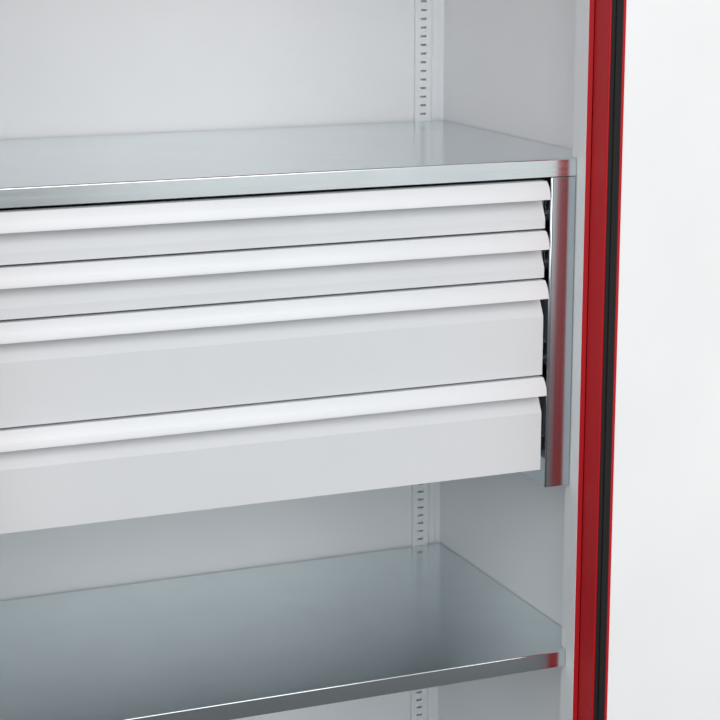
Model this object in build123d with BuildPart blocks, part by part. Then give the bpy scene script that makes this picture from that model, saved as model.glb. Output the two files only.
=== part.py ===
"""Heavy-duty two-door storage cabinet with four full-width drawers, modelled with its doors open.

Millimetres, +Z up, front towards -Y, origin on the floor under the middle of the open cabinet.
Depths are written as distances in front of the shelf fronts: positive is nearer the user.
"""
import os
from math import radians, sin

from build123d import *

os.makedirs("parts", exist_ok=True)

# Overall sizes
body_width = 1050.0
body_height = 2000.0
shelf_room = 571.5
base_height = 100.0
cap_height = 40.0

# Sheet thicknesses
skin_sheet = 1.2
liner_sheet = 0.8
frame_sheet = 2.0
shelf_sheet = 1.5
runner_sheet = 1.5
front_sheet = 1.2
handle_sheet = 1.5
tray_sheet = 1.2
rim_width = 30.0

# Front frame
post_width = 42.0
post_front = 25.0
post_depth = 39.0
header_height = 50.0
sill_height = 40.0

# Slotted uprights
upright_width = 30.0
upright_depth = 8.0
rear_upright_inset = 42.0
front_upright_setback = 47.0
slot_width = 10.6
slot_height = 3.5
slot_pitch = 15.0
slot_first = 161.0

# Shelves, hooked into numbered slots
fascia_height = 27.0
fascia_return = 15.0
fascia_round = 2.0
shelf_clearance = 1.5
shelf_slots = (74, 22)
clip_width = 10.0
clip_height = 10.0
clip_reach = 13.0
clip_tongue = 4.0
tongue_play = 0.25

# Drawer housing
housing_gap = 44.5
flange_width = 36.5
hem_diameter = 5.0
hem_bore = 2.6
housing_height = 482.0
housing_back_room = 31.5
housing_top_gap = 1.0
housing_top_flange = 25.0
bracket_height = 30.0
bracket_sheet = 3.0
bracket_slots = (46, 70)

# Drawers
drawer_step = 75.0
drawer_steps = (1, 1, 2, 2)
first_drawer_drop = 32.0
front_gap = 3.2
front_face = 1.6
front_recess = -13.0
slope_height = 30.0
handle_height = 26.5
handle_root = 4.7
handle_reach = 16.1
bow_reach = 12.3
bow_drop = 10.5
handle_lip = 4.0
tray_lift = 6.0
tray_top_room = 16.0
tray_back_room = 20.0
front_return = 11.0

# Telescopic runners
runner_room = 13.0
runner_half_height = 15.0
runner_lift = 25.0
runner_clearance = 0.3
runner_play = 0.5
runner_open = 10.5
runner_setback = 32.0
runner_back_room = 18.0

# Doors
door_thickness = 46.0
seal_gap = 5.0
hinge_inset = 21.0
edge_to_axis = 15.0
centre_gap = 3.0
door_gap = 3.0
door_lip = 26.5
door_round = 2.5
panel_sheet = 1.0
panel_overlap = 12.0
seal_edge = 2.5
seal_width = 19.0
seal_base = 1.2
seal_ridge_width = 6.0
seal_ridge_height = 4.0
seal_round = 2.0
strip_width = 34.0
strip_overlap = 14.0
strip_sheet = 1.5
strip_play = 0.5

# Door pivots
pin_diameter = 12.0
pin_head = 20.0
pin_head_height = 4.0
pin_reach = 15.0
pivot_clearance = 0.05
bush_diameter = 20.0
bush_flange = 30.0
bush_length = 14.0
seat_clearance = 0.1
thrust_clearance = 0.3

# Rotary lock
lock_from_edge = 62.0
lock_height = 1020.0
plate_width = 46.0
plate_length = 150.0
plate_thickness = 4.0
plate_round = 6.0
spindle_diameter = 12.0
hub_diameter = 32.0
hub_height = 14.0
lever_length = 105.0
lever_width = 22.0
lever_thickness = 11.0
cam_diameter = 42.0
cam_thickness = 4.0
cam_depth = 38.0
crank_radius = 14.0
crank_pin = 6.0
crank_start = 45.0
rod_width = 16.0
rod_thickness = 4.0
rod_offset = 12.0
rod_depth = 32.0
rod_end = 10.0
rod_tip_back = 1.0
rod_clearance = 0.5
yoke_play = 1.0
guide_wall = 2.0
guide_height = 20.0
guide_from_lock = 300.0
cylinder_diameter = 12.0
cylinder_above = 48.0
cylinder_proud = 3.0
cylinder_length = 16.0
key_slot_width = 1.6
key_slot_height = 7.0
key_slot_depth = 6.0

# Worked-out planes and heights
wall_x = body_width / 2 - skin_sheet - liner_sheet
skin_x = body_width / 2 - skin_sheet
post_x = wall_x - post_width
frame_x = post_x - liner_sheet
body_top = body_height - cap_height
liner_back = -shelf_room - liner_sheet
skin_back = liner_back - skin_sheet
door_inner = post_front + seal_gap + door_thickness
door_outer = post_front + seal_gap
hinge_front = door_outer + door_thickness / 2
fascia_y = (skin_back + door_inner + seal_ridge_height) / 2
floor_top = base_height + sill_height
header_bottom = body_top - header_height

clip_drop = fascia_height + clip_height / 2
upper_top, lower_top = (slot_first + number * slot_pitch + clip_drop for number in shelf_slots)
shelf_back = -shelf_room + upright_depth + shelf_clearance

housing_depth = shelf_room - housing_back_room
housing_outer = wall_x - housing_gap
housing_x = housing_outer - flange_width
plate_x = housing_x - shelf_sheet
housing_top = upper_top - fascia_height - housing_top_gap
housing_bottom = upper_top - fascia_height - housing_height

tray_x = plate_x - runner_room
tray_front = front_recess - front_sheet
tray_back = -housing_depth + tray_back_room

hinge_x = wall_x - hinge_inset
door_edge = hinge_x - edge_to_axis
door_width = hinge_x + edge_to_axis - centre_gap / 2
door_bottom = base_height + door_gap
door_top = body_top - door_gap
lock_x = door_edge + door_width - lock_from_edge
strike_x = 2 * hinge_x - lock_x
rod_front = door_inner - rod_depth
strike_front = 2 * hinge_front - rod_front
crank_drop = crank_radius * sin(radians(crank_start))

BOTH = (-1, 1)
NAMED = (("left", -1), ("right", 1))


def across(side, inner, outer):
    """X limits of a stretch on one side of the middle."""
    return tuple(sorted((side * inner, side * outer)))


def along(far, near):
    """Y limits of a stretch between two distances in front of the shelf fronts."""
    return fascia_y - near, fascia_y - far


def block(x, y, z, mode=Mode.ADD):
    """A square block between low and high limits."""
    with Locations(((x[0] + x[1]) / 2, (y[0] + y[1]) / 2, (z[0] + z[1]) / 2)):
        Box(x[1] - x[0], y[1] - y[0], z[1] - z[0], mode=mode)


def upright_rod(x, front, z, diameter, mode=Mode.ADD):
    """A round bar standing along Z between two heights."""
    with Locations((x, fascia_y - front, (z[0] + z[1]) / 2)):
        Cylinder(diameter / 2, z[1] - z[0], mode=mode)


def level_rod(x, z, y, diameter, mode=Mode.ADD):
    """A round bar lying along Y between two depths."""
    with Locations((x, (y[0] + y[1]) / 2, z)):
        Cylinder(diameter / 2, y[1] - y[0], rotation=(90, 0, 0), mode=mode)


def keep(piece, name):
    """Label a finished piece and write it."""
    piece.part.label = name
    export_step(piece.part, f"parts/{name}.step")


def pivot_holes(z):
    """Holes for the two door pivots through a plate."""
    for side in BOTH:
        upright_rod(side * hinge_x, hinge_front, z, pin_diameter + 2 * seat_clearance, Mode.SUBTRACT)


def strike_slot(offset, z):
    """Slot that takes a lock rod when the right door is shut."""
    half_width = rod_width / 2 + rod_clearance
    half_depth = rod_thickness / 2 + rod_clearance
    centre = strike_x - offset
    block(
        (centre - half_width, centre + half_width),
        along(strike_front - half_depth, strike_front + half_depth),
        z,
        Mode.SUBTRACT,
    )


# Base plinth with a closed deck and a rolled-in bottom rim
half_body = body_width / 2
full_x = (-half_body, half_body)
full_y = along(skin_back, door_inner)
deck = (base_height - frame_sheet, base_height)
hollow_x = (-half_body + frame_sheet, half_body - frame_sheet)
hollow_y = along(skin_back + frame_sheet, door_inner - frame_sheet)
rim_x = (-half_body + rim_width, half_body - rim_width)
with BuildPart() as base_plinth:
    block(full_x, full_y, (0, base_height))
    block(hollow_x, hollow_y, (frame_sheet, base_height - frame_sheet), Mode.SUBTRACT)
    block(rim_x, along(skin_back + rim_width, door_inner - rim_width), (0, frame_sheet), Mode.SUBTRACT)
    pivot_holes(deck)
    strike_slot(-rod_offset, deck)
keep(base_plinth, "base_plinth")

# Top cap, reaching over the doors
soffit = (body_top, body_top + frame_sheet)
cap_open_front = post_front - post_depth - liner_sheet
with BuildPart() as top_cap:
    block(full_x, full_y, (body_top, body_height))
    block(hollow_x, hollow_y, (body_top + frame_sheet, body_height - frame_sheet), Mode.SUBTRACT)
    block(rim_x, along(skin_back + rim_width, cap_open_front), soffit, Mode.SUBTRACT)
    pivot_holes(soffit)
    strike_slot(rod_offset, soffit)
keep(top_cap, "top_cap")

# Floor tray of the cabinet
floor_x = wall_x - shelf_clearance
floor_front = post_front - post_depth - liner_sheet - shelf_clearance
floor_back = -shelf_room + shelf_clearance
with BuildPart() as cabinet_floor:
    block((-floor_x, floor_x), along(floor_back, floor_front), (base_height, floor_top))
    block(
        (-floor_x + shelf_sheet, floor_x - shelf_sheet),
        along(floor_back + shelf_sheet, floor_front - shelf_sheet),
        (base_height, floor_top - shelf_sheet),
        Mode.SUBTRACT,
    )
keep(cabinet_floor, "cabinet_floor")

# Outer side and back panels with their inner liners
walls_z = (base_height, body_top)
for name, side in NAMED:
    with BuildPart() as side_panel:
        block(across(side, skin_x, half_body), along(skin_back, post_front), walls_z)
    keep(side_panel, f"{name}_side_panel")

with BuildPart() as side_liners:
    for side in BOTH:
        block(across(side, wall_x, skin_x), along(liner_back, post_front - post_depth), walls_z)
keep(side_liners, "side_liners")

with BuildPart() as back_panel:
    block((-skin_x, skin_x), along(skin_back, liner_back), walls_z)
keep(back_panel, "back_panel")

with BuildPart() as back_liner:
    block((-wall_x, wall_x), along(liner_back, -shelf_room), walls_z)
keep(back_liner, "back_liner")

# Front posts: square tubes with a light inner lining
post_back = post_front - post_depth
for name, side in NAMED:
    with BuildPart() as front_post:
        block(across(side, post_x, skin_x), along(post_back, post_front), walls_z)
        block(
            across(side, post_x + frame_sheet, skin_x - frame_sheet),
            along(post_back + frame_sheet, post_front - frame_sheet),
            walls_z,
            Mode.SUBTRACT,
        )
    keep(front_post, f"{name}_front_post")

with BuildPart() as post_liners:
    for side in BOTH:
        block(across(side, frame_x, post_x), along(post_back - liner_sheet, post_front), walls_z)
        block(across(side, post_x, wall_x), along(post_back - liner_sheet, post_back), walls_z)
keep(post_liners, "post_liners")

# Header and sill rails between the posts
for name, rail_z in (("header_rail", (header_bottom, body_top)), ("sill_rail", (base_height, floor_top))):
    with BuildPart() as rail:
        block((-frame_x, frame_x), along(post_back, post_front), rail_z)
        block(
            (-frame_x, frame_x),
            along(post_back + frame_sheet, post_front - frame_sheet),
            (rail_z[0] + frame_sheet, rail_z[1] - frame_sheet),
            Mode.SUBTRACT,
        )
    keep(rail, name)

# Slotted uprights on the back wall and, turned a quarter, behind the front posts
upright_z = (floor_top, header_bottom)
slot_count = int((upright_z[1] - slot_first) / slot_pitch)
slot_heights = [slot_first + step * slot_pitch for step in range(slot_count)]
rear_upright_x = wall_x - rear_upright_inset
upright_face = -shelf_room + upright_depth
half_upright = upright_width / 2
upright_x = (rear_upright_x - half_upright, rear_upright_x + half_upright)
with BuildPart() as rear_uprights:
    block(upright_x, along(-shelf_room, upright_face), upright_z)
    block(
        (upright_x[0] + shelf_sheet, upright_x[1] - shelf_sheet),
        along(-shelf_room, upright_face - shelf_sheet),
        upright_z,
        Mode.SUBTRACT,
    )
    with BuildSketch(Plane.XZ.offset(upright_face - fascia_y)):
        with Locations([(rear_upright_x, height) for height in slot_heights]):
            Rectangle(slot_width, slot_height)
    extrude(amount=-shelf_sheet, mode=Mode.SUBTRACT)
    mirror(about=Plane.YZ)
keep(rear_uprights, "rear_uprights")

front_upright_y = along(-front_upright_setback - half_upright, -front_upright_setback + half_upright)
front_upright_x = wall_x - upright_depth
with BuildPart() as front_uprights:
    block((front_upright_x, wall_x), front_upright_y, upright_z)
    block(
        (front_upright_x + shelf_sheet, wall_x),
        (front_upright_y[0] + shelf_sheet, front_upright_y[1] - shelf_sheet),
        upright_z,
        Mode.SUBTRACT,
    )
    with BuildSketch(Plane.YZ.offset(front_upright_x)):
        with Locations([(fascia_y + front_upright_setback, height) for height in slot_heights]):
            Rectangle(slot_width, slot_height)
    extrude(amount=shelf_sheet, mode=Mode.SUBTRACT)
    mirror(about=Plane.YZ)
keep(front_uprights, "front_uprights")

# Shelves: folded pans with a deep front fascia, notched round the posts and front uprights
fascia_x = frame_x - shelf_clearance
notch_x = front_upright_x - shelf_clearance
notch_back = -front_upright_setback - half_upright - shelf_clearance
post_notch = post_back - liner_sheet - shelf_clearance
shelf_x = wall_x - shelf_clearance

with BuildSketch() as shelf_outline:
    with BuildLine():
        Polyline(
            (0, fascia_y),
            (fascia_x, fascia_y),
            (fascia_x, fascia_y - post_notch),
            (notch_x, fascia_y - post_notch),
            (notch_x, fascia_y - notch_back),
            (shelf_x, fascia_y - notch_back),
            (shelf_x, fascia_y - shelf_back),
            (0, fascia_y - shelf_back),
        )
        mirror(about=Plane.YZ)
    make_face()

for name, top in (("upper_shelf", upper_top), ("lower_shelf", lower_top)):
    with BuildPart() as shelf:
        with BuildSketch(Plane.XY.offset(top - fascia_height)):
            add(shelf_outline.sketch)
        extrude(amount=fascia_height)
        front_edge = shelf.edges().filter_by(Axis.X).group_by(Axis.Y)[0].sort_by(Axis.Z)[-1]
        fillet(front_edge, fascia_round)
        with BuildSketch(Plane.XY.offset(top - fascia_height)):
            add(shelf_outline.sketch)
            offset(amount=-shelf_sheet, kind=Kind.INTERSECTION, mode=Mode.REPLACE)
        extrude(amount=fascia_height - shelf_sheet, mode=Mode.SUBTRACT)
        block(
            (-fascia_x + shelf_sheet, fascia_x - shelf_sheet),
            along(-fascia_return, -shelf_sheet),
            (top - fascia_height, top - fascia_height + shelf_sheet),
        )
    keep(shelf, name)

# Shelf clips: a ledge under each corner with a tongue through the upright's slot
with BuildPart() as shelf_clips:
    for top in (upper_top, lower_top):
        ledge_z = (top - fascia_height - clip_height, top - fascia_height)
        slot_z = top - clip_drop
        tongue_z = (slot_z - slot_height / 2 + tongue_play, slot_z + slot_height / 2 - tongue_play)
        for side in BOTH:
            rear_x = (side * rear_upright_x - clip_width / 2, side * rear_upright_x + clip_width / 2)
            block(rear_x, along(upright_face, upright_face + clip_reach), ledge_z)
            block(rear_x, along(upright_face - clip_tongue, upright_face), tongue_z)
            middle = fascia_y + front_upright_setback
            front_y = (middle - clip_width / 2, middle + clip_width / 2)
            block(across(side, front_upright_x - clip_reach, front_upright_x), front_y, ledge_z)
            block(across(side, front_upright_x, front_upright_x + clip_tongue), front_y, tongue_z)
keep(shelf_clips, "shelf_clips")

# Drawer housing sides: plate, front flange with a rolled hem, and a top flange under the shelf
hem_x = housing_x - hem_diameter / 2
hem_front = -hem_diameter / 2
housing_z = (housing_bottom, housing_top)
hung_top = upper_top - shelf_sheet
hung_front = -fascia_return - shelf_clearance
for name, side in NAMED:
    with BuildPart() as housing_side:
        plate_limits = across(side, plate_x, housing_x)
        block(plate_limits, along(-housing_depth, hem_front - hem_bore / 2), housing_z)
        block(plate_limits, along(-housing_depth, hung_front), (housing_bottom, hung_top))
        block(across(side, hem_x + hem_bore / 2, housing_outer), along(-shelf_sheet, 0), housing_z)
        block(
            across(side, housing_x, housing_x + housing_top_flange),
            along(-housing_depth, hung_front),
            (hung_top - shelf_sheet, hung_top),
        )
        upright_rod(side * hem_x, hem_front, housing_z, hem_diameter)
        upright_rod(side * hem_x, hem_front, housing_z, hem_bore, Mode.SUBTRACT)
    keep(housing_side, f"{name}_housing_side")

with BuildPart() as housing_back:
    back_y = along(-housing_depth, -housing_depth + shelf_sheet)
    block((-plate_x, plate_x), back_y, (housing_bottom, hung_top))
keep(housing_back, "housing_back")

# Brackets that carry the housing on the front uprights
with BuildPart() as housing_brackets:
    for slot in bracket_slots:
        slot_z = slot_first + slot * slot_pitch
        arm_z = (slot_z - bracket_sheet / 2, slot_z + bracket_sheet / 2)
        middle = fascia_y + front_upright_setback
        arm_y = (middle - clip_width / 2, middle + clip_width / 2)
        for side in BOTH:
            block(across(side, housing_x, front_upright_x + clip_tongue), arm_y, arm_z)
            block(
                across(side, housing_x, housing_x + bracket_sheet),
                arm_y,
                (arm_z[1] - bracket_height, arm_z[1]),
            )
keep(housing_brackets, "housing_brackets")


def channel(side, web, flange, half_height, z, y):
    """U-section runner: web and flange give X limits of each, measured in from the housing plate."""
    web_x = across(side, plate_x - web[0], plate_x - web[1])
    flange_x = across(side, plate_x - flange[0], plate_x - flange[1])
    block(web_x, y, (z - half_height, z + half_height))
    block(flange_x, y, (z - half_height, z - half_height + runner_sheet))
    block(flange_x, y, (z + half_height - runner_sheet, z + half_height))


# Drawer heights, from the top drawer down
drawers = []
front_top = upper_top - first_drawer_drop
for steps in drawer_steps:
    pitch = steps * drawer_step
    drawers.append((front_top - pitch + front_gap, front_top))
    front_top -= pitch

outer_half = runner_half_height
middle_half = outer_half - runner_sheet - runner_clearance
inner_half = middle_half - runner_sheet - runner_clearance
middle_start = hem_diameter - shelf_sheet + runner_play
inner_start = middle_start + runner_sheet + runner_play
runner_y = along(-housing_depth + runner_back_room, -runner_setback)
inner_web = (runner_room - runner_sheet, runner_room)

# Outer runners, fixed to the housing
with BuildPart() as outer_runners:
    for bottom, top in drawers:
        for side in BOTH:
            level = bottom + tray_lift + runner_lift
            channel(side, (0, runner_sheet), (0, runner_open), outer_half, level, runner_y)
keep(outer_runners, "outer_runners")

for number, (bottom, top) in enumerate(drawers, start=1):
    level = bottom + tray_lift + runner_lift

    # Middle and inner runners, one pair of each
    with BuildPart() as middle_runners:
        for side in BOTH:
            web = (middle_start, middle_start + runner_sheet)
            channel(side, web, (middle_start, runner_open), middle_half, level, runner_y)
    keep(middle_runners, f"middle_runners_{number}")

    with BuildPart() as inner_runners:
        for side in BOTH:
            channel(side, inner_web, (inner_start, runner_room), inner_half, level, runner_y)
    keep(inner_runners, f"inner_runners_{number}")

    # Drawer tray, open at the top
    tray_z = (bottom + tray_lift, top - tray_top_room)
    with BuildPart() as drawer_tray:
        block((-tray_x, tray_x), along(tray_back, tray_front), tray_z)
        block(
            (-tray_x + tray_sheet, tray_x - tray_sheet),
            along(tray_back + tray_sheet, tray_front - tray_sheet),
            (tray_z[0] + tray_sheet, tray_z[1]),
            Mode.SUBTRACT,
        )
    keep(drawer_tray, f"drawer_tray_{number}")

    # Drawer front: bottom return, upright face, slope back under the grip, web and top flange
    web_y = fascia_y - front_recess
    face_y = fascia_y - front_face
    slope_top = top - handle_height
    slope_bottom = slope_top - slope_height
    flange_z = top - handle_sheet - front_sheet
    with BuildPart() as drawer_front:
        with BuildSketch(Plane.YZ):
            with BuildLine():
                Polyline(
                    (face_y + front_return, bottom),
                    (face_y, bottom),
                    (face_y, slope_bottom),
                    (web_y, slope_top),
                    (web_y, flange_z),
                    (fascia_y - handle_root, flange_z),
                )
                offset(amount=front_sheet, side=Side.RIGHT, kind=Kind.INTERSECTION)
            make_face()
        extrude(amount=tray_x, both=True)
        for side in BOTH:
            with BuildSketch(Plane.YZ.offset(side * tray_x)):
                with BuildLine():
                    Polyline(
                        (face_y, bottom),
                        (face_y, slope_bottom),
                        (web_y, slope_top),
                        (web_y, bottom),
                        close=True,
                    )
                make_face()
            extrude(amount=-side * front_sheet)
    keep(drawer_front, f"drawer_front_{number}")

    # Full-width grip strip: a convex bow with a turned-in lip
    strip_z = top - handle_sheet
    lip_z = top - handle_height
    bow_y = fascia_y - bow_reach
    bow_z = top - bow_drop
    with BuildPart() as drawer_handle:
        with BuildSketch(Plane.YZ):
            with BuildLine():
                Line((web_y, strip_z), (fascia_y - handle_root, strip_z))
                ThreePointArc(
                    (fascia_y - handle_root, strip_z),
                    (bow_y, bow_z),
                    (fascia_y - handle_reach, lip_z + handle_sheet),
                )
                Line(
                    (fascia_y - handle_reach, lip_z + handle_sheet),
                    (fascia_y - handle_reach + handle_lip, lip_z + handle_sheet),
                )
                offset(amount=handle_sheet, side=Side.RIGHT, kind=Kind.INTERSECTION)
            make_face()
        extrude(amount=tray_x, both=True)
    keep(drawer_handle, f"drawer_handle_{number}")

# Doors, standing open: inner face forward, hinge edge towards the middle
door_z = (door_bottom, door_top)
free_edge = door_edge + door_width
cavity_z = (door_bottom + skin_sheet, door_top - skin_sheet)
for name, side in NAMED:
    with BuildPart() as door_skin:
        block(across(side, door_edge, free_edge), along(door_outer, door_inner), door_z)
        fillet(door_skin.edges(), door_round)
        block(
            across(side, door_edge + skin_sheet, free_edge - skin_sheet),
            along(door_outer + skin_sheet, door_inner - skin_sheet),
            cavity_z,
            Mode.SUBTRACT,
        )
        block(
            across(side, door_edge + door_lip, free_edge - door_lip),
            along(door_inner - skin_sheet, door_inner),
            (door_bottom + door_lip, door_top - door_lip),
            Mode.SUBTRACT,
        )
        bush_hole = bush_diameter + 2 * seat_clearance
        for edge_z in ((door_bottom, cavity_z[0]), (cavity_z[1], door_top)):
            upright_rod(side * hinge_x, hinge_front, edge_z, bush_hole, Mode.SUBTRACT)
        if name == "right":
            slot_x = rod_width / 2 + rod_clearance
            slot_y = rod_thickness / 2 + rod_clearance
            slot_limits = along(rod_front - slot_y, rod_front + slot_y)
            for middle, edge_z in (
                (lock_x + rod_offset, (cavity_z[1], door_top)),
                (lock_x - rod_offset, (door_bottom, cavity_z[0])),
            ):
                block((middle - slot_x, middle + slot_x), slot_limits, edge_z, Mode.SUBTRACT)
            wall_y = along(door_outer, door_outer + skin_sheet)
            level_rod(lock_x, lock_height, wall_y, spindle_diameter + 2 * seat_clearance, Mode.SUBTRACT)
            cylinder_hole = cylinder_diameter + 2 * seat_clearance
            level_rod(lock_x, lock_height + cylinder_above, wall_y, cylinder_hole, Mode.SUBTRACT)
    keep(door_skin, f"{name}_door_skin")

    # Inner panel, tucked behind the lip
    tuck = door_lip - panel_overlap
    with BuildPart() as door_panel:
        block(
            across(side, door_edge + tuck, free_edge - tuck),
            along(door_inner - skin_sheet - panel_sheet, door_inner - skin_sheet),
            (door_bottom + tuck, door_top - tuck),
        )
    keep(door_panel, f"{name}_door_panel")

    # Seal on three sides: a flat base with a rounded ridge along its middle
    seal_end = free_edge - door_lip
    with BuildPart() as door_seal:
        for inset, width, proud in (
            (seal_edge, seal_width, seal_base),
            (seal_edge + (seal_width - seal_ridge_width) / 2, seal_ridge_width, seal_ridge_height),
        ):
            block(
                across(side, door_edge + inset, seal_end),
                along(door_inner, door_inner + proud),
                (door_bottom + inset, door_top - inset),
            )
        cut_inset = seal_edge + seal_width
        ridge_inset = seal_edge + (seal_width + seal_ridge_width) / 2
        for inset, low in ((cut_inset, 0), (ridge_inset, seal_base)):
            block(
                across(side, door_edge + inset, seal_end),
                along(door_inner + low, door_inner + seal_ridge_height),
                (door_bottom + inset, door_top - inset),
                Mode.SUBTRACT,
            )
        ridge_top = door_seal.faces().sort_by(Axis.Y)[0]
        fillet(ridge_top.edges().filter_by(Axis.Z), seal_round)
    keep(door_seal, f"{name}_door_seal")

    # Flanged pivot bushes in the door's top and bottom edges
    with BuildPart() as door_bushes:
        for edge, inward in ((door_bottom, 1), (door_top, -1)):
            body = tuple(sorted((edge, edge + inward * bush_length)))
            flange = tuple(sorted((edge, edge - inward * (door_gap - thrust_clearance))))
            bore = tuple(sorted((flange[0], body[1]) if inward > 0 else (body[0], flange[1])))
            upright_rod(side * hinge_x, hinge_front, body, bush_diameter)
            upright_rod(side * hinge_x, hinge_front, flange, bush_flange)
            bore_diameter = pin_diameter + 2 * pivot_clearance
            upright_rod(side * hinge_x, hinge_front, bore, bore_diameter, Mode.SUBTRACT)
    keep(door_bushes, f"{name}_door_bushes")

# Closing strip on the left door, which the right door holds shut
strip_start = free_edge - strip_width + strip_overlap
strip_z = (door_bottom + door_lip, door_top - door_lip)
with BuildPart() as closing_strip:
    block(across(-1, strip_start, free_edge), along(door_inner, door_inner + strip_sheet), strip_z)
    block(
        across(-1, free_edge, free_edge + strip_overlap),
        along(door_inner + strip_play, door_inner + strip_sheet),
        strip_z,
    )
keep(closing_strip, "closing_strip")

# Pivot pins: headed pins through the base deck and the cap's soffit
with BuildPart() as pivot_pins:
    for side in BOTH:
        low_head = (deck[0] - pin_head_height, deck[0])
        high_head = (soffit[1], soffit[1] + pin_head_height)
        upright_rod(side * hinge_x, hinge_front, (deck[0], base_height + pin_reach), pin_diameter)
        upright_rod(side * hinge_x, hinge_front, low_head, pin_head)
        upright_rod(side * hinge_x, hinge_front, (body_top - pin_reach, soffit[1]), pin_diameter)
        upright_rod(side * hinge_x, hinge_front, high_head, pin_head)
keep(pivot_pins, "pivot_pins")

# Lock plate on the right door's outer face
plate_y = along(door_outer - plate_thickness, door_outer)
plate_middle = lock_height + cylinder_above / 2
with BuildPart() as lock_plate:
    with BuildSketch(Plane.XZ.offset(-plate_y[0])):
        with Locations((lock_x, plate_middle)):
            RectangleRounded(plate_width, plate_length, plate_round)
    extrude(amount=-plate_thickness)
    level_rod(lock_x, lock_height, plate_y, spindle_diameter + 2 * pivot_clearance, Mode.SUBTRACT)
    cylinder_bore = cylinder_diameter + 2 * pivot_clearance
    level_rod(lock_x, lock_height + cylinder_above, plate_y, cylinder_bore, Mode.SUBTRACT)
keep(lock_plate, "lock_plate")

# Turning handle: hub, lever towards the hinges and spindle through the door
hub_front = door_outer - plate_thickness - thrust_clearance
hub_y = along(hub_front - hub_height, hub_front)
cam_front = door_inner - cam_depth
with BuildPart() as lock_handle:
    level_rod(lock_x, lock_height, hub_y, hub_diameter)
    with BuildSketch(Plane.XZ.offset(-hub_y[1] + lever_thickness)):
        with Locations((lock_x - (lever_length - lever_width) / 2, lock_height)):
            SlotOverall(lever_length, lever_width)
    extrude(amount=-lever_thickness)
    level_rod(lock_x, lock_height, (fascia_y - cam_front + cam_thickness / 2, hub_y[0]), spindle_diameter)
keep(lock_handle, "lock_handle")

# Cam with two crank pins on the end of the spindle
cam_y = along(cam_front - cam_thickness / 2, cam_front + cam_thickness / 2)
pin_y = along(cam_front + cam_thickness / 2, rod_front + rod_thickness)
crank_reach = crank_radius * sin(radians(90 - crank_start))
with BuildPart() as lock_cam:
    level_rod(lock_x, lock_height, cam_y, cam_diameter)
    for way in BOTH:
        level_rod(lock_x + way * crank_reach, lock_height - way * crank_drop, pin_y, crank_pin)
keep(lock_cam, "lock_cam")

# Lock rods, each with a cross slot round its crank pin
rod_y = along(rod_front - rod_thickness / 2, rod_front + rod_thickness / 2)
yoke_half = crank_pin / 2 + yoke_play
for name, way, tip in (
    ("upper_lock_rod", 1, door_top - rod_tip_back),
    ("lower_lock_rod", -1, door_bottom + rod_tip_back),
):
    centre = lock_x + way * rod_offset
    pin_z = lock_height - way * crank_drop
    start = pin_z - way * rod_end
    slot_x = sorted(
        (
            lock_x + way * (crank_reach - crank_pin / 2 - rod_clearance),
            lock_x + way * (crank_radius + crank_pin / 2 + rod_clearance),
        )
    )
    with BuildPart() as lock_rod:
        block((centre - rod_width / 2, centre + rod_width / 2), rod_y, tuple(sorted((start, tip))))
        block(tuple(slot_x), rod_y, (pin_z - yoke_half, pin_z + yoke_half), Mode.SUBTRACT)
    keep(lock_rod, name)

# Rod guides, standing on the inside of the door's outer sheet
guide_y = along(door_outer + skin_sheet, rod_front + rod_thickness / 2 + rod_clearance + guide_wall)
with BuildPart() as rod_guides:
    for way, tip in ((1, door_top), (-1, door_bottom)):
        centre = lock_x + way * rod_offset
        for height in (lock_height + way * guide_from_lock, tip - way * guide_from_lock):
            guide_z = (height - guide_height / 2, height + guide_height / 2)
            half = rod_width / 2 + rod_clearance
            block((centre - half - guide_wall, centre + half + guide_wall), guide_y, guide_z)
            rod_hole = rod_thickness / 2 + rod_clearance
            hole_y = along(rod_front - rod_hole, rod_front + rod_hole)
            block((centre - half, centre + half), hole_y, guide_z, Mode.SUBTRACT)
keep(rod_guides, "rod_guides")

# Key cylinder through the lock plate, with a flat key slot
cylinder_face = fascia_y - door_outer + plate_thickness + cylinder_proud
with BuildPart() as lock_cylinder:
    level_rod(
        lock_x,
        lock_height + cylinder_above,
        (cylinder_face - cylinder_length, cylinder_face),
        cylinder_diameter,
    )
    key_middle = lock_height + cylinder_above
    block(
        (lock_x - key_slot_width / 2, lock_x + key_slot_width / 2),
        (cylinder_face - key_slot_depth, cylinder_face),
        (key_middle - key_slot_height / 2, key_middle + key_slot_height / 2),
        Mode.SUBTRACT,
    )
keep(lock_cylinder, "lock_cylinder")
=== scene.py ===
"""Looks of a heavy-duty storage cabinet: finishes, small sheet-metal details, stage, light and camera."""

from math import cos, pi, radians, sin

import bmesh
import bpy
from bpy.props import FloatProperty, FloatVectorProperty, PointerProperty
from mathutils import Matrix, Vector


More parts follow.
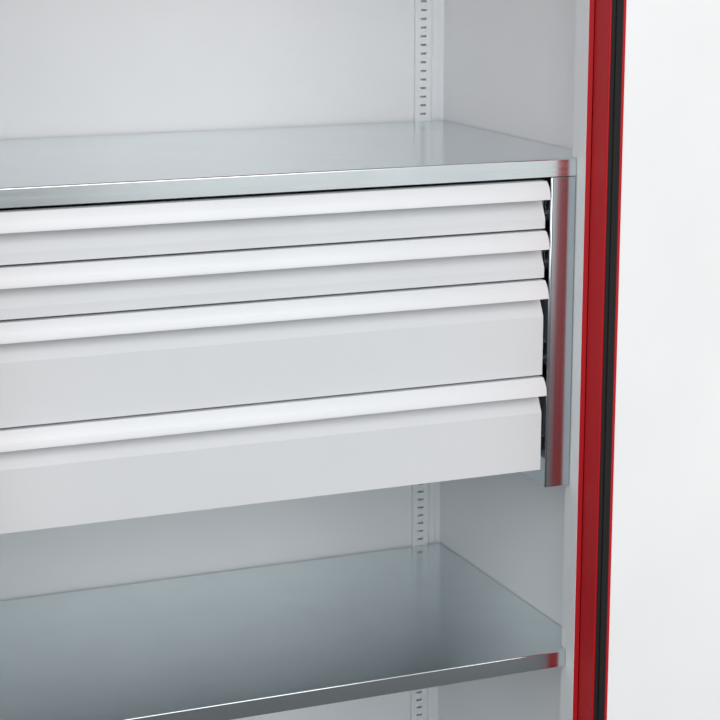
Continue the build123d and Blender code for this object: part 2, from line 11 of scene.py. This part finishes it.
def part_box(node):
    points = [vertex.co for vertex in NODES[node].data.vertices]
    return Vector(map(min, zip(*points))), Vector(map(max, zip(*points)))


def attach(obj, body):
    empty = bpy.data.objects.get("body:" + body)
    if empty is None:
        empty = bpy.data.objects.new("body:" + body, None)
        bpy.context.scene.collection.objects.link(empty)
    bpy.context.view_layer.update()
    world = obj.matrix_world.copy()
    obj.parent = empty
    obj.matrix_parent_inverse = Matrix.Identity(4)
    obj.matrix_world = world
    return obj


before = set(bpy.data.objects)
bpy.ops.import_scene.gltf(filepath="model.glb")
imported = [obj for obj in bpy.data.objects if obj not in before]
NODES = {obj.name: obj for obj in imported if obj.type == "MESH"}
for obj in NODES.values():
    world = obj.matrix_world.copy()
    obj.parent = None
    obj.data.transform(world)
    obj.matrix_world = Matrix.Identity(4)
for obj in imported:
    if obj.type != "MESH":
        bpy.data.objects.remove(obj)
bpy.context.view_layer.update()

bl_info = {
    "name": "Storage cabinet looks",
    "version": (1, 0, 0),
    "blender": (4, 5, 0),
    "location": "View3D > Sidebar > Cabinet",
    "description": "Finishes and small details of a sheet-steel cabinet with drawers",
    "category": "Object",
}

MM = 0.001
SIDES = ("left", "right")
DRAWERS = (1, 2, 3, 4)

# Axes that a sheet's rolling lines can run along
ACROSS, UPRIGHT = 0, 2

# Where most values of a noise texture lie
NOISE_SPAN = {"From Min": 0.3, "From Max": 0.7}

# How far an added detail reaches into the piece that carries it
SUNK = 0.1 * MM

# Heads of fasteners from rim to axis, as shares of radius and height, and their height per diameter
RIVET_HEAD = ((1, 0.3), (0.8, 0.75), (0.45, 1), (0.3, 0.9), (0.25, 0.6), (0, 0.6))
SCREW_HEAD = ((1, 0.35), (0.85, 0.8), (0.6, 1), (0.48, 1), (0.46, 0.3), (0, 0.25))
RIVET_RISE, SCREW_RISE = 0.18, 0.3
RIVET_ROWS = 9

# Turns a head that points up so that it points out of a rear face
OUT_OF_REAR = Matrix.Rotation(-pi / 2, 4, "X")

# The floor is a disc just below the cabinet, wide enough to reach the horizon
FLOOR_RADIUS, FLOOR_SEGMENTS, FLOOR_DROP = 30.0, 96, 0.5 * MM

# The surround's tint, and how far up it changes from the horizon's brightness to the one overhead
SURROUND_TINT, SURROUND_TOP = "f6f9fb", 0.9

# Soft lights: name, the property with its power, size, place and the point that it faces, in metres
SOFTBOXES = (
    ("key_softbox", "key_power", (6.4, 3.6), (-0.2, -4.6, 2.9), (0.1, 0.2, 1.2)),
    ("fill_softbox", "fill_power", (3.0, 2.6), (2.2, -4.0, 1.5), (0.2, -0.2, 1.2)),
    ("side_softbox", "side_power", (2.4, 2.4), (-3.4, -2.6, 1.9), (0.5, -0.1, 1.2)),
    ("door_softbox", "door_power", (0.9, 0.6), (2.0, -1.7, 0.3), (0.9, -0.33, 0.65)),
    ("rear_softbox", "rear_power", (5.0, 3.0), (0.0, 4.8, 2.8), (0.0, 0.3, 1.0)),
)

SENSOR_MM = 36.0
NEAR_CLIP, FAR_CLIP = 0.05, 200.0


def linear(code):
    """Linear RGBA of an sRGB hex value."""
    parts = [int(code[start:start + 2], 16) / 255 for start in (0, 2, 4)]
    return (*(c / 12.92 if c <= 0.04045 else ((c + 0.055) / 1.055) ** 2.4 for c in parts), 1.0)


class CabinetColours(bpy.types.PropertyGroup):
    """Colours of the cabinet's finishes."""

    red: FloatVectorProperty(
        name="Ruby red", description="Powder coat of the shell and the doors",
        subtype="COLOR", size=4, min=0, max=1, default=linear("ba171f"))
    grey: FloatVectorProperty(
        name="Light grey", description="Powder coat of the lining and the slotted uprights",
        subtype="COLOR", size=4, min=0, max=1, default=linear("e9edef"))
    pale: FloatVectorProperty(
        name="Pale grey", description="Powder coat of the doors' inner panels",
        subtype="COLOR", size=4, min=0, max=1, default=linear("f3f3f3"))
    drawer: FloatVectorProperty(
        name="Drawer grey", description="Powder coat of the drawers",
        subtype="COLOR", size=4, min=0, max=1, default=linear("d8dadc"))
    # Lighter than the drawer grey: a painted highlight for the light that falls from above on the grips'
    # rounded faces
    grip: FloatVectorProperty(
        name="Grip grey", description="Powder coat of the drawers' grip strips",
        subtype="COLOR", size=4, min=0, max=1, default=linear("e9ebed"))
    sheet: FloatVectorProperty(
        name="Galvanised sheet", description="Reflection colour of the shelves and the cabinet's floor",
        subtype="COLOR", size=4, min=0, max=1, default=linear("dfe7ea"))
    housing: FloatVectorProperty(
        name="Housing sheet", description="Reflection colour of the drawer housing",
        subtype="COLOR", size=4, min=0, max=1, default=linear("c6cfd3"))
    zinc: FloatVectorProperty(
        name="Zinc plating", description="Reflection colour of runners, clips, brackets, rods and pins",
        subtype="COLOR", size=4, min=0, max=1, default=linear("c9ccce"))
    rubber: FloatVectorProperty(
        name="Rubber", description="Colour of the door seals",
        subtype="COLOR", size=4, min=0, max=1, default=linear("191718"))
    nylon: FloatVectorProperty(
        name="Nylon", description="Colour of the pivot bushes",
        subtype="COLOR", size=4, min=0, max=1, default=linear("dedbd2"))
    plastic: FloatVectorProperty(
        name="Black plastic", description="Colour of the lock's plate and handle",
        subtype="COLOR", size=4, min=0, max=1, default=linear("232426"))
    chrome: FloatVectorProperty(
        name="Chrome", description="Reflection colour of the key cylinder",
        subtype="COLOR", size=4, min=0, max=1, default=linear("e2e4e5"))


class CabinetSizes(bpy.types.PropertyGroup):
    """Sizes of the details that the scene adds."""

    fold: FloatProperty(
        name="Edge rounding", description="Radius drawn on the edges of folded sheet and small pieces",
        unit="LENGTH", default=0.45 * MM, min=0.05 * MM)
    heavy_fold: FloatProperty(
        name="Frame edge rounding", description="Radius drawn on the edges of the base, cap and rails",
        unit="LENGTH", default=0.8 * MM, min=0.05 * MM)
    moulded: FloatProperty(
        name="Moulded edge rounding", description="Radius drawn on the lock's plastic edges",
        unit="LENGTH", default=0.9 * MM, min=0.05 * MM)
    rivet: FloatProperty(
        name="Rivet head", description="Diameter of the rivet heads on the back",
        unit="LENGTH", default=9.0 * MM, min=2 * MM)
    rivet_inset: FloatProperty(
        name="Rivet inset", description="Distance of the rivets from the back panel's edges",
        unit="LENGTH", default=16.0 * MM, min=6 * MM)
    seam_gap: FloatProperty(
        name="Seam place", description="Distance of the corner seam from the rear upright",
        unit="LENGTH", default=5.6 * MM, min=0)
    seam_width: FloatProperty(
        name="Seam width", description="Width of the folded corner seam",
        unit="LENGTH", default=12.4 * MM, min=2 * MM)
    seam_rise: FloatProperty(
        name="Seam height", description="Height of the corner seam above the back sheet",
        unit="LENGTH", default=0.9 * MM, min=0.1 * MM)
    bead_rise: FloatProperty(
        name="Bead height", description="How far the post's bead stands out towards the open door",
        unit="LENGTH", default=5.1 * MM, min=0.5 * MM)
    bead_gap: FloatProperty(
        name="Bead gap", description="Sideways gap between the post's bead and the open door's edge",
        unit="LENGTH", default=0.3 * MM, min=0.2 * MM)
    screw: FloatProperty(
        name="Screw head", description="Diameter of the lock plate's screw heads",
        unit="LENGTH", default=8.0 * MM, min=2 * MM)
    screw_inset: FloatProperty(
        name="Screw inset", description="Distance of the screws from the lock plate's ends",
        unit="LENGTH", default=11.0 * MM, min=5 * MM)


class CabinetStage(bpy.types.PropertyGroup):
    """Camera, light and floor."""

    eye: FloatVectorProperty(
        name="Camera", description="Where the camera stands", subtype="TRANSLATION", unit="LENGTH",
        default=(-0.942, -2.836, 1.665))
    yaw: FloatProperty(
        name="Camera turn", description="Turn to the right of straight ahead", subtype="ANGLE",
        default=radians(22.455))
    pitch: FloatProperty(
        name="Camera tilt", description="Tilt below the horizon", subtype="ANGLE", default=radians(11.86))
    lens: FloatProperty(
        name="Lens", description="Focal length on a 36 mm sensor", unit="CAMERA", default=98.4)
    shift: FloatProperty(
        name="Vertical shift", description="Share of the frame that the view is shifted by", default=-0.05)
    key_power: FloatProperty(
        name="Key light", description="Power of the large soft light in front", unit="POWER", default=143.0)
    fill_power: FloatProperty(
        name="Fill light", description="Power of the soft light on the right", unit="POWER", default=9.5)
    side_power: FloatProperty(
        name="Side light", description="Power of the soft light on the left", unit="POWER", default=26.0)
    door_power: FloatProperty(
        name="Door light", description="Power of the low soft light on the right door", unit="POWER",
        default=5.0)
    rear_power: FloatProperty(
        name="Rear light", description="Power of the soft light behind the cabinet", unit="POWER",
        default=60.0)
    horizon: FloatProperty(
        name="Surround", description="Brightness of the surround at eye level", default=0.76, min=0)
    zenith: FloatProperty(
        name="Overhead", description="Brightness of the surround straight above", default=0.44, min=0)
    floor: FloatVectorProperty(
        name="Floor", description="Colour of the floor far out", subtype="COLOR", size=4, min=0, max=1,
        default=linear("dadad8"))
    # Painted shade: the floor's colour near the cabinet, dark grey so that the floor there and what mirrors
    # it read as shaded
    mat: FloatVectorProperty(
        name="Floor mat", description="Colour of the floor round the cabinet", subtype="COLOR", size=4,
        min=0, max=1, default=linear("56585a"))
    # How far out the painted shade stays full before it fades into the pale floor
    floor_shade_reach: FloatProperty(
        name="Mat reach", description="How far from the middle the mat's colour starts to fade",
        unit="LENGTH", default=4.5, min=0.5)


def add(tree, kind, sockets=(), **settings):
    """Adds a node with its settings, and fills its sockets with values or links."""
    made = tree.nodes.new(kind)
    for name, value in settings.items():
        setattr(made, name, value)
    for name, value in dict(sockets).items():
        if isinstance(value, bpy.types.NodeSocket):
            tree.links.new(value, made.inputs[name])
        else:
            made.inputs[name].default_value = value
    return made


def blank(name):
    """A material without nodes, its node tree, and the mesh's own coordinates in metres."""
    made = bpy.data.materials.get(name)
    if made is None:
        made = bpy.data.materials.new(name)
    made.use_nodes = True
    made.node_tree.nodes.clear()
    return made, made.node_tree, add(made.node_tree, "ShaderNodeTexCoord").outputs["Object"]


def clouded(tree, colour, noise, low, high):
    """A colour whose brightness drifts with a noise, between two shares of its own."""
    share = add(tree, "ShaderNodeMapRange", {
        "Value": noise.outputs["Fac"], **NOISE_SPAN, "To Min": low, "To Max": high})
    tone = add(tree, "ShaderNodeHueSaturation", {"Color": colour, "Value": share.outputs["Result"]})
    return tone.outputs["Color"]


def powder_coat(name, colour, rough, gleam=0.5):
    """Baked powder coat: one even colour, a soft sheen and a faint orange peel.

    Real peel is near 1 mm; it is drawn coarser so that it shows in the render.
    """
    peel_mm, peel_depth_mm, cloud_mm = 2.6, 0.05, 240
    made, tree, place = blank(name)
    peel = add(tree, "ShaderNodeTexNoise", {"Vector": place, "Scale": 1 / (peel_mm * MM), "Detail": 2.0})
    cloud = add(tree, "ShaderNodeTexNoise", {"Vector": place, "Scale": 1 / (cloud_mm * MM), "Detail": 3.0})
    gloss = add(tree, "ShaderNodeMapRange", {
        "Value": peel.outputs["Fac"], **NOISE_SPAN, "To Min": rough - 0.04, "To Max": rough + 0.04})
    bump = add(tree, "ShaderNodeBump", {
        "Height": peel.outputs["Fac"], "Strength": 0.35, "Distance": peel_depth_mm * MM})
    skin = add(tree, "ShaderNodeBsdfPrincipled", {
        "Base Color": clouded(tree, colour, cloud, 0.98, 1.02), "Roughness": gloss.outputs["Result"],
        "Normal": bump.outputs["Normal"], "IOR": 1.5, "Specular IOR Level": gleam})
    add(tree, "ShaderNodeOutputMaterial", {"Surface": skin.outputs["BSDF"]})
    return made


def rolled_sheet(name, colour, rough, grain):
    """Bright galvanised sheet: a cool mirror, drawn out by fine rolling lines along the sheet.

    The lines are near 0.2 mm; they are drawn about 1.4 mm apart so that they show in the render.
    """
    line_mm, line_length_mm, line_depth_mm, cloud_mm = 1.4, 420, 0.02, 90
    made, tree, place = blank(name)
    stretch = [1 / (line_mm * MM)] * 3
    stretch[grain] = 1 / (line_length_mm * MM)
    lines = add(tree, "ShaderNodeMapping", {"Vector": place, "Scale": stretch})
    streak = add(tree, "ShaderNodeTexNoise", {
        "Vector": lines.outputs["Vector"], "Scale": 1.0, "Detail": 2.0})
    cloud = add(tree, "ShaderNodeTexNoise", {"Vector": place, "Scale": 1 / (cloud_mm * MM), "Detail": 4.0})
    gloss = add(tree, "ShaderNodeMapRange", {
        "Value": streak.outputs["Fac"], **NOISE_SPAN, "To Min": rough - 0.03, "To Max": rough + 0.05})
    bump = add(tree, "ShaderNodeBump", {
        "Height": streak.outputs["Fac"], "Strength": 0.12, "Distance": line_depth_mm * MM})
    skin = add(tree, "ShaderNodeBsdfPrincipled", {
        "Base Color": clouded(tree, colour, cloud, 0.97, 1.02), "Metallic": 1.0,
        "Roughness": gloss.outputs["Result"], "Normal": bump.outputs["Normal"]})
    add(tree, "ShaderNodeOutputMaterial", {"Surface": skin.outputs["BSDF"]})
    return made


def plated_steel(name, colour, rough, mottle_mm):
    """Zinc or chrome plating: metal whose gloss changes in small soft patches."""
    made, tree, place = blank(name)
    patch = add(tree, "ShaderNodeTexNoise", {"Vector": place, "Scale": 1 / (mottle_mm * MM), "Detail": 5.0})
    gloss = add(tree, "ShaderNodeMapRange", {
        "Value": patch.outputs["Fac"], **NOISE_SPAN, "To Min": rough * 0.8, "To Max": rough * 1.2})
    skin = add(tree, "ShaderNodeBsdfPrincipled", {
        "Base Color": clouded(tree, colour, patch, 0.93, 1.03), "Metallic": 1.0,
        "Roughness": gloss.outputs["Result"]})
    add(tree, "ShaderNodeOutputMaterial", {"Surface": skin.outputs["BSDF"]})
    return made


def moulded(name, colour, rough, grain_mm, ior, gleam=0.5):
    """Rubber or plastic from a mould: dull, with a fine even grain that breaks up the highlight.

    Real grain is near 0.2 mm; it is drawn coarser so that it shows in the render.
    """
    grain_depth_mm = 0.05
    made, tree, place = blank(name)
    grain = add(tree, "ShaderNodeTexNoise", {"Vector": place, "Scale": 1 / (grain_mm * MM), "Detail": 3.0})
    gloss = add(tree, "ShaderNodeMapRange", {
        "Value": grain.outputs["Fac"], **NOISE_SPAN, "To Min": rough - 0.05, "To Max": rough + 0.05})
    bump = add(tree, "ShaderNodeBump", {
        "Height": grain.outputs["Fac"], "Strength": 0.25, "Distance": grain_depth_mm * MM})
    skin = add(tree, "ShaderNodeBsdfPrincipled", {
        "Base Color": clouded(tree, colour, grain, 0.92, 1.08), "Roughness": gloss.outputs["Result"],
        "Normal": bump.outputs["Normal"], "IOR": ior, "Specular IOR Level": gleam})
    add(tree, "ShaderNodeOutputMaterial", {"Surface": skin.outputs["BSDF"]})
    return made


def painted_floor(name, stage):
    """Matt floor with painted shade: dark grey round the cabinet, fading to a pale grey, and a little
    uneven.
    """
    cloud_mm = 900
    made, tree, place = blank(name)
    cloud = add(tree, "ShaderNodeTexNoise", {"Vector": place, "Scale": 1 / (cloud_mm * MM), "Detail": 3.0})
    reach = add(tree, "ShaderNodeVectorMath", {0: place}, operation="LENGTH")
    fade = add(tree, "ShaderNodeMapRange", {
        "Value": reach.outputs["Value"], "From Min": stage.floor_shade_reach, "From Max": 2 * stage.floor_shade_reach},
        interpolation_type="SMOOTHSTEP")
    # A colour mix has its factor at 0, its two colours at 6 and 7, and its result at 2
    # The dark grey round the cabinet is painted shade
    ground = add(tree, "ShaderNodeMix", {
        0: fade.outputs["Result"], 6: stage.mat, 7: stage.floor}, data_type="RGBA")
    skin = add(tree, "ShaderNodeBsdfPrincipled", {
        "Base Color": clouded(tree, ground.outputs[2], cloud, 0.985, 1.01), "Roughness": 0.8})
    add(tree, "ShaderNodeOutputMaterial", {"Surface": skin.outputs["BSDF"]})
    return made


def ruby_red_coat(colours):
    """The shell's and the doors' coat, with less gleam than the light ones."""
    return powder_coat("ruby_red_powder_coat", colours.red, rough=0.42, gleam=0.2)


def zinc_plating(colours):
    """The finish of all small steel pieces."""
    return plated_steel("zinc_plated_steel", colours.zinc, rough=0.36, mottle_mm=14)


def dress(names, material, rounding=None):
    """Gives CAD nodes their finish, closes their meshes, and rounds edges so that they catch the light."""
    for name in names:
        node = NODES[name]
        for slot in node.material_slots:
            slot.material = material
        weld = node.modifiers.new("joined_edges", "WELD")
        weld.merge_threshold = 0.01 * MM
        if rounding:
            bevel = node.modifiers.new("rounded_edges", "BEVEL")
            bevel.width = rounding
            bevel.segments = 2
            bevel.limit_method = "ANGLE"
            bevel.angle_limit = radians(40)
            bevel.use_clamp_overlap = False
            bevel.harden_normals = True


def piece(name, shape, body, material):
    """Turns a built shape into a named piece that rides on a body and takes its finish from a slot."""
    mesh = bpy.data.meshes.new(name)
    bmesh.ops.recalc_face_normals(shape, faces=shape.faces)
    shape.to_mesh(mesh)
    shape.free()
    mesh.materials.append(material)
    made = bpy.data.objects.new(name, mesh)
    bpy.context.scene.collection.objects.link(made)
    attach(made, body)
    return made


def head_profile(shares, diameter, rise_share):
    """A fastener head's (radius, height) pairs from axis to axis, sunk a little into its seat."""
    radius, rise = diameter / 2, diameter * rise_share
    return ((0, -SUNK), (radius, -SUNK), *((out * radius, up * rise) for out, up in shares))


def turn(shape, profile, place, segments=24):
    """Adds a turned solid to a shape: (radius, height) pairs from axis to axis, round the place's Z."""
    rings = []
    for radius, height in profile:
        ring = []
        for step in range(segments if radius else 1):
            angle = 2 * pi * step / segments
            ring.append(shape.verts.new(place @ Vector((radius * cos(angle), radius * sin(angle), height))))
        rings.append(ring)
    for lower, upper in zip(rings, rings[1:]):
        for step in range(segments):
            after = (step + 1) % segments
            corners = (lower[step % len(lower)], lower[after % len(lower)],
                       upper[after % len(upper)], upper[step % len(upper)])
            shape.faces.new(list(dict.fromkeys(corners))).smooth = True


def strip(shape, section, heights):
    """Adds an upright strip to a shape: its section as (x, y) points, between two heights."""
    rings = [[shape.verts.new((x, y, z)) for x, y in section] for z in heights]
    count = len(section)
    for step in range(count):
        after = (step + 1) % count
        shape.faces.new((rings[0][step], rings[0][after], rings[1][after], rings[1][step]))
    shape.faces.new(rings[0])
    shape.faces.new(rings[1])


class CABINET_OT_shell(bpy.types.Operator):
    """Red powder coat on the base, cap, outer panels, posts and rails."""

    bl_idname = "cabinet.shell"
    bl_label = "Outer shell"

    def execute(self, context):
        colours, sizes = context.scene.cabinet_colours, context.scene.cabinet_sizes
        coat = ruby_red_coat(colours)
        dress(("base_plinth", "top_cap", "header_rail", "sill_rail"), coat, sizes.heavy_fold)
        dress(("back_panel",), coat, sizes.fold)
        for side in SIDES:
            dress((f"{side}_side_panel", f"{side}_front_post"), coat, sizes.fold)

        # Blind rivets that hold the outer back panel to the frame, painted over
        low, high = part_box("back_panel")
        rivets = bmesh.new()
        head = head_profile(RIVET_HEAD, sizes.rivet, RIVET_RISE)
        inset = sizes.rivet_inset
        for x in (low.x + inset, high.x - inset):
            for row in range(RIVET_ROWS):
                z = low.z + inset + (high.z - low.z - 2 * inset) * row / (RIVET_ROWS - 1)
                turn(rivets, head, Matrix.Translation((x, high.y, z)) @ OUT_OF_REAR)
        piece("back_rivets", rivets, "cabinet", coat)

        # Slanted bead on each post that closes the sight gap to the open door's hinge edge
        beads = bmesh.new()
        chamfer = 0.3 * MM
        for way, side in zip((-1, 1), SIDES):
            post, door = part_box(f"{side}_front_post"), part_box(f"{side}_door_skin")
            face, root = post[0].y, min(abs(post[0].x), abs(post[1].x))
            tip = min(abs(door[0].x), abs(door[1].x)) - sizes.bead_gap
            crest = face - sizes.bead_rise
            strip(beads, (
                (way * root, face + SUNK), (way * root, face), (way * (tip - chamfer), crest),
                (way * tip, crest + chamfer), (way * tip, face + SUNK),
            ), (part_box("sill_rail")[1].z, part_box("header_rail")[0].z))
        piece("post_beads", beads, "cabinet", coat)
        return {"FINISHED"}


class CABINET_OT_lining(bpy.types.Operator):
    """Light-grey powder coat on the inner lining and the slotted uprights."""

    bl_idname = "cabinet.lining"
    bl_label = "Inner lining"

    def execute(self, context):
        colours, sizes = context.scene.cabinet_colours, context.scene.cabinet_sizes
        coat = powder_coat("light_grey_powder_coat", colours.grey, rough=0.44)
        dress(("side_liners", "back_liner", "post_liners"), coat)
        dress(("rear_uprights", "front_uprights"), coat, sizes.fold)

        # Seam where the back sheet laps over the side sheet: a low flat fold beside each rear upright
        back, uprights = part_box("back_liner"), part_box("rear_uprights")
        wall, rise, ease = back[0].y, sizes.seam_rise, 2 * sizes.seam_rise
        seams = bmesh.new()
        for way, edge in ((-1, uprights[0].x), (1, uprights[1].x)):
            near = edge + way * sizes.seam_gap
            far = near + way * sizes.seam_width
            strip(seams, (
                (near, wall + SUNK), (near, wall), (near + way * ease, wall - rise),
                (far - way * ease, wall - rise), (far, wall), (far, wall + SUNK),
            ), (uprights[0].z, uprights[1].z))
        piece("corner_seams", seams, "cabinet", coat)
        return {"FINISHED"}


class CABINET_OT_shelves(bpy.types.Operator):
    """Galvanised shelves and floor on zinc-plated clips."""

    bl_idname = "cabinet.shelves"
    bl_label = "Shelves"

    def execute(self, context):
        colours, sizes = context.scene.cabinet_colours, context.scene.cabinet_sizes
        sheet = rolled_sheet("galvanised_shelf_sheet", colours.sheet, rough=0.17, grain=ACROSS)
        dress(("upper_shelf", "lower_shelf", "cabinet_floor"), sheet, sizes.fold)
        dress(("shelf_clips",), zinc_plating(colours), sizes.fold)
        return {"FINISHED"}


class CABINET_OT_housing(bpy.types.Operator):
    """Galvanised drawer housing with its brackets and fixed runners."""

    bl_idname = "cabinet.housing"
    bl_label = "Drawer housing"

    def execute(self, context):
        colours, sizes = context.scene.cabinet_colours, context.scene.cabinet_sizes
        sheet = rolled_sheet("galvanised_housing_sheet", colours.housing, rough=0.17, grain=UPRIGHT)
        dress(("left_housing_side", "right_housing_side"), sheet, sizes.fold)
        dress(("housing_back",), sheet)
        dress(("housing_brackets", "outer_runners"), zinc_plating(colours), sizes.fold)
        return {"FINISHED"}


class CABINET_OT_drawers(bpy.types.Operator):
    """Drawers in light powder coat with their moving runners."""

    bl_idname = "cabinet.drawers"
    bl_label = "Drawers"

    def execute(self, context):
        colours, sizes = context.scene.cabinet_colours, context.scene.cabinet_sizes
        coat = powder_coat("drawer_grey_powder_coat", colours.drawer, rough=0.42)
        # The grips get a lighter copy of the drawer coat, as a painted highlight
        grip = powder_coat("grip_grey_powder_coat", colours.grip, rough=0.36)
        zinc = zinc_plating(colours)
        for number in DRAWERS:
            dress((f"drawer_tray_{number}", f"drawer_front_{number}"), coat, sizes.fold)
            dress((f"drawer_handle_{number}",), grip, sizes.fold)
            dress((f"inner_runners_{number}", f"middle_runners_{number}"), zinc, sizes.fold)
        return {"FINISHED"}


class CABINET_OT_doors(bpy.types.Operator):
    """Doors: red skins, pale inner panels, rubber seals, bushes and pins."""

    bl_idname = "cabinet.doors"
    bl_label = "Doors"

    def execute(self, context):
        colours, sizes = context.scene.cabinet_colours, context.scene.cabinet_sizes
        red = ruby_red_coat(colours)
        pale = powder_coat("pale_grey_powder_coat", colours.pale, rough=0.46)
        rubber = moulded("black_rubber_seal", colours.rubber, rough=0.6, grain_mm=1.8, ior=1.52, gleam=0.25)
        nylon = moulded("nylon_bush", colours.nylon, rough=0.4, grain_mm=2.2, ior=1.53)
        for side in SIDES:
            dress((f"{side}_door_skin",), red)
            dress((f"{side}_door_panel",), pale)
            dress((f"{side}_door_seal",), rubber)
            dress((f"{side}_door_bushes",), nylon)
        dress(("closing_strip",), red, sizes.fold)
        dress(("pivot_pins",), zinc_plating(colours), sizes.fold)
        return {"FINISHED"}


class CABINET_OT_lock(bpy.types.Operator):
    """Rotary lock: plate, handle, cam, rods, guides and key cylinder."""

    bl_idname = "cabinet.lock"
    bl_label = "Lock"

    def execute(self, context):
        colours, sizes = context.scene.cabinet_colours, context.scene.cabinet_sizes
        plastic = moulded("black_plastic", colours.plastic, rough=0.42, grain_mm=1.6, ior=1.53)
        zinc = zinc_plating(colours)
        chrome = plated_steel("chromed_brass", colours.chrome, rough=0.12, mottle_mm=8)
        dress(("lock_plate", "lock_handle"), plastic, sizes.moulded)
        dress(("lock_cam", "rod_guides", "upper_lock_rod", "lower_lock_rod"), zinc, sizes.fold)
        dress(("lock_cylinder",), chrome, sizes.fold)

        # Two raised socket-head screws that hold the lock plate
        low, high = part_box("lock_plate")
        screws = bmesh.new()
        head = head_profile(SCREW_HEAD, sizes.screw, SCREW_RISE)
        for z in (low.z + sizes.screw_inset, high.z - sizes.screw_inset):
            turn(screws, head, Matrix.Translation(((low.x + high.x) / 2, high.y, z)) @ OUT_OF_REAR)
        piece("lock_screws", screws, "right_door", zinc)
        return {"FINISHED"}


def lay_floor(scene, stage):
    """A wide flat disc that the cabinet stands on, its colour darkened round the cabinet as painted shade.
    """
    mesh = bpy.data.meshes.new("studio_floor")
    shape = bmesh.new()
    bmesh.ops.create_circle(shape, cap_ends=True, segments=FLOOR_SEGMENTS, radius=FLOOR_RADIUS)
    shape.to_mesh(mesh)
    shape.free()
    mesh.materials.append(painted_floor("matt_studio_floor", stage))
    floor = bpy.data.objects.new("studio_floor", mesh)
    floor.location.z = -FLOOR_DROP
    scene.collection.objects.link(floor)


def light_surround(scene, stage):
    """An even cool surround that is brightest at eye level."""
    world = bpy.data.worlds.new("even_surround")
    world.use_nodes = True
    tree = world.node_tree
    tree.nodes.clear()
    way = add(tree, "ShaderNodeTexCoord").outputs["Generated"]
    height = add(tree, "ShaderNodeSeparateXYZ", {"Vector": way}).outputs["Z"]
    level = add(tree, "ShaderNodeMapRange", {
        "Value": height, "From Min": 0.0, "From Max": SURROUND_TOP,
        "To Min": stage.horizon, "To Max": stage.zenith})
    glow = add(tree, "ShaderNodeBackground", {
        "Color": linear(SURROUND_TINT), "Strength": level.outputs["Result"]})
    add(tree, "ShaderNodeOutputWorld", {"Surface": glow.outputs["Background"]})
    scene.world = world


def hang_softboxes(scene, stage):
    """Soft rectangular lights that show in reflections but not in the picture itself."""
    for name, power, size, spot, aim in SOFTBOXES:
        lamp = bpy.data.lights.new(name, "AREA")
        lamp.shape = "RECTANGLE"
        lamp.size, lamp.size_y = size
        lamp.energy = getattr(stage, power)
        light = bpy.data.objects.new(name, lamp)
        light.location = spot
        light.visible_camera = False
        light.rotation_euler = (Vector(aim) - Vector(spot)).to_track_quat("-Z", "Y").to_euler()
        scene.collection.objects.link(light)


def set_camera(scene, stage):
    """The camera that looks at the right-hand part of the open cabinet from its left front."""
    lens = bpy.data.cameras.new("photo_view")
    lens.lens, lens.sensor_width, lens.shift_y = stage.lens, SENSOR_MM, stage.shift
    lens.clip_start, lens.clip_end = NEAR_CLIP, FAR_CLIP
    camera = bpy.data.objects.new("photo_view", lens)
    camera.location = stage.eye
    camera.rotation_euler = (pi / 2 - stage.pitch, 0, -stage.yaw)
    scene.collection.objects.link(camera)
    scene.camera = camera
    scene.view_settings.view_transform = "Standard"


class CABINET_OT_stage(bpy.types.Operator):
    """Floor with painted shade round the cabinet, soft studio light and the camera."""

    bl_idname = "cabinet.stage"
    bl_label = "Stage"

    def execute(self, context):
        scene, stage = context.scene, context.scene.cabinet_stage
        lay_floor(scene, stage)
        light_surround(scene, stage)
        hang_softboxes(scene, stage)
        set_camera(scene, stage)
        return {"FINISHED"}


class CABINET_PT_panel(bpy.types.Panel):
    """Lists the cabinet's steps and what can be changed."""

    bl_idname = "CABINET_PT_panel"
    bl_label = "Storage cabinet"
    bl_space_type = "VIEW_3D"
    bl_region_type = "UI"
    bl_category = "Cabinet"

    def draw(self, context):
        for step in STEPS:
            self.layout.operator(step.bl_idname)
        for group in GROUPS:
            values = getattr(context.scene, group)
            for name in values.bl_rna.properties.keys():
                if name not in ("rna_type", "name"):
                    self.layout.prop(values, name)


STEPS = (CABINET_OT_shell, CABINET_OT_lining, CABINET_OT_shelves, CABINET_OT_housing, CABINET_OT_drawers,
         CABINET_OT_doors, CABINET_OT_lock, CABINET_OT_stage)
GROUPS = {"cabinet_colours": CabinetColours, "cabinet_sizes": CabinetSizes, "cabinet_stage": CabinetStage}


def register():
    for kind in (*GROUPS.values(), *STEPS, CABINET_PT_panel):
        bpy.utils.register_class(kind)
    for name, kind in GROUPS.items():
        setattr(bpy.types.Scene, name, PointerProperty(type=kind))


def unregister():
    for name in GROUPS:
        delattr(bpy.types.Scene, name)
    for kind in reversed((*GROUPS.values(), *STEPS, CABINET_PT_panel)):
        bpy.utils.unregister_class(kind)


def main():
    register()
    for step in STEPS:
        getattr(bpy.ops.cabinet, step.bl_idname.split(".")[1])()


if __name__ == "__main__":
    main()
